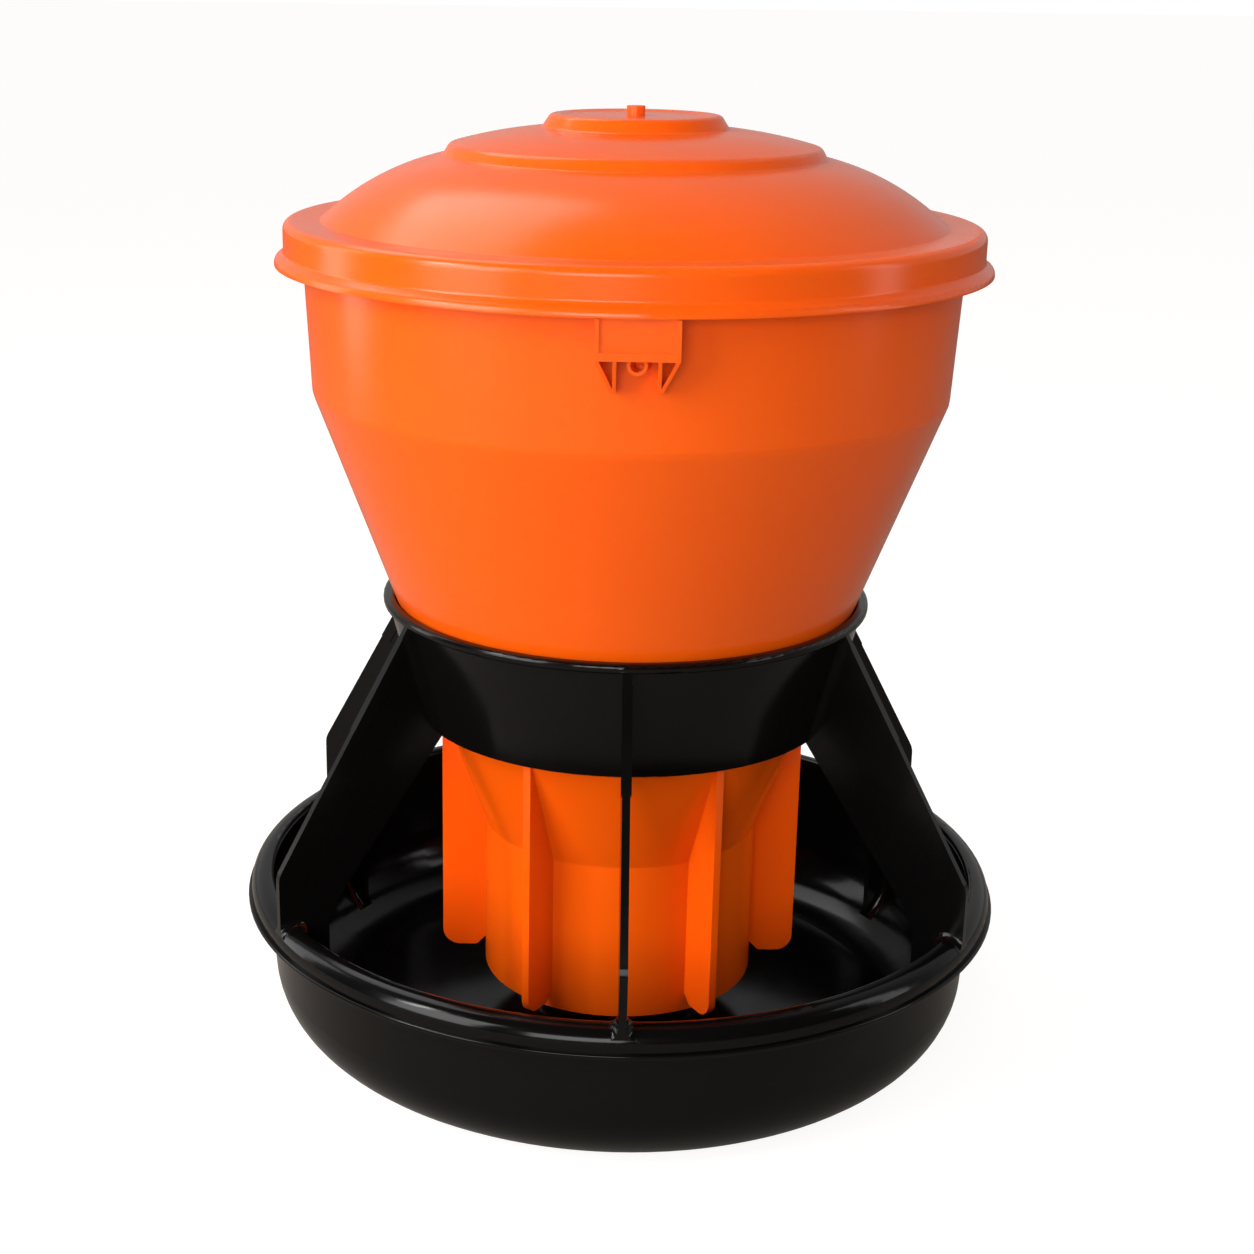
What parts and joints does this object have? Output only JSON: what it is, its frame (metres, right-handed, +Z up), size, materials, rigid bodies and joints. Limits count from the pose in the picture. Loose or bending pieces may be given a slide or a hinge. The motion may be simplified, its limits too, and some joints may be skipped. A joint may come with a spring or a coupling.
{
  "type": "automatic pig feeder",
  "caption": "Round gravity feeder for young pigs: lidded hopper with a finned drop tube, held in the collar of a round pan with dividers.",
  "frame": {"origin": "middle of the pan's flat underside", "axes": "+Z up along the feeder's axis; the front, with a lug and a divider, faces -Y"},
  "size_m": [0.4799, 0.48, 0.5789],
  "materials": {
    "orange_plastic": "glossy injection-moulded orange plastic",
    "black_plastic": "glossy injection-moulded black plastic"
  },
  "bodies": {
    "root": {"feeder_lid": "orange_plastic", "feed_hopper": "orange_plastic", "feeder_base": "black_plastic"}
  },
  "joints": []
}
